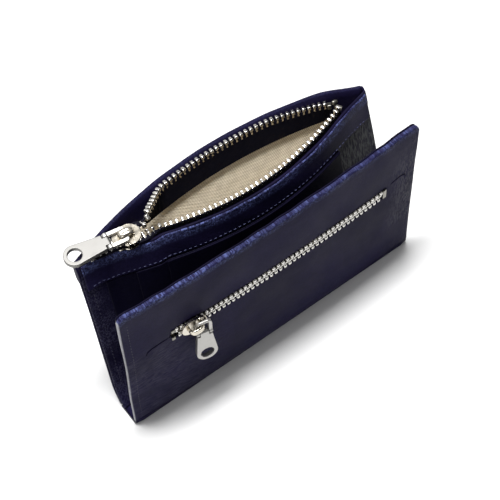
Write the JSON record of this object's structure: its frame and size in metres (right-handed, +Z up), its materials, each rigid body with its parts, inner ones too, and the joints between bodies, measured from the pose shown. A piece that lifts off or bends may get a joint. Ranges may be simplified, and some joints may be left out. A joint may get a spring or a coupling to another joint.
{
  "type": "travel wallet",
  "caption": "Bifold leather travel wallet standing open on its spine, with a zipped pouch and card slots behind and a zipped slit pocket and passport pocket in front.",
  "frame": {"origin": "middle of the underside of the spine, on the surface that the wallet stands on", "axes": "+X along the spine to the end where the zips close, +Y from the front leaf to the zipped pouch, +Z up"},
  "size_m": [0.1569, 0.0639, 0.0975],
  "materials": {
    "navy_leather": "satin",
    "inner_leather": "satin",
    "lining_canvas": "matte",
    "zip_tape": "matte",
    "zip_nickel": "polished",
    "pull_nickel": "polished"
  },
  "bodies": {
    "rear_leaf": {"rear_cover": "navy_leather", "spine_base": "inner_leather", "pouch_front_panel": "navy_leather", "pouch_top_band": "navy_leather", "pouch_lining_rear": "lining_canvas", "pouch_lining_front": "lining_canvas", "card_panel_1": "inner_leather", "card_panel_2": "inner_leather", "card_panel_3": "inner_leather", "corner_cap_left": "inner_leather", "corner_cap_right": "inner_leather", "top_zip_tape_rear": "zip_tape", "top_zip_tape_front": "zip_tape", "top_zip_teeth_rear": "zip_nickel", "top_zip_teeth_front": "zip_nickel", "top_zip_bottom_stop": "zip_nickel", "top_zip_end_stops": "zip_nickel"},
    "front_leaf": {"front_cover": "navy_leather", "front_inner_panel": "inner_leather", "passport_pocket": "inner_leather", "front_pocket_lining": "lining_canvas", "front_zip_tape_upper": "zip_tape", "front_zip_tape_lower": "zip_tape", "front_zip_teeth_upper": "zip_nickel", "front_zip_teeth_lower": "zip_nickel", "front_zip_bottom_stop": "zip_nickel", "front_zip_end_stops": "zip_nickel"},
    "top_slider": {"top_slider_body": "pull_nickel", "top_slider_bridge": "pull_nickel"},
    "top_link": {"top_pull_link": "pull_nickel"},
    "top_tab": {"top_pull_tab": "pull_nickel", "top_pull_pin": "pull_nickel"},
    "front_slider": {"front_slider_body": "pull_nickel", "front_slider_bridge": "pull_nickel"},
    "front_link": {"front_pull_link": "pull_nickel"},
    "front_tab": {"front_pull_tab": "pull_nickel", "front_pull_pin": "pull_nickel"}
  },
  "joints": [
    {"name": "cover_fold", "type": "hinge", "parent": "rear_leaf", "child": "front_leaf", "pos_m": [0, -0.01014, 0.0015], "axis": [1, 0, 0], "range_deg": [-5, 150]},
    {"name": "top_zip_slide", "type": "slide", "parent": "rear_leaf", "child": "top_slider", "axis": [0.9998, 0.0196, 0], "range_m": [0, 0.1], "deforming": ["top_zip_teeth_rear", "top_zip_teeth_front", "top_zip_tape_rear", "top_zip_tape_front"]},
    {"name": "top_link_flip", "type": "hinge", "parent": "top_slider", "child": "top_link", "pos_m": [-0.0514, 0.02427, 0.09505], "axis": [0.165, 0.9863, 0], "range_deg": [0, 115]},
    {"name": "top_tab_hinge", "type": "hinge", "parent": "top_link", "child": "top_tab", "pos_m": [-0.05949, 0.02562, 0.09505], "axis": [0.165, 0.9863, 0], "range_deg": [0, 75]},
    {"name": "front_zip_travel", "type": "hinge", "parent": "front_leaf", "child": "front_slider", "pos_m": [0, 1.15793, 0.062], "axis": [0, 0.0349, 0.9994], "range_deg": [0, 4.72], "deforming": ["front_zip_teeth_upper", "front_zip_teeth_lower"]},
    {"name": "front_link_swing", "type": "hinge", "parent": "front_slider", "child": "front_link", "pos_m": [-0.0417, -0.01448, 0.06213], "axis": [-0.0381, -0.9987, 0.0349], "range_deg": [-25, 25]},
    {"name": "front_tab_hinge", "type": "hinge", "parent": "front_link", "child": "front_tab", "pos_m": [-0.04172, -0.01518, 0.0565], "axis": [-0.9775, 0.2109, -0.0061], "range_deg": [-2, 75]}
  ]
}
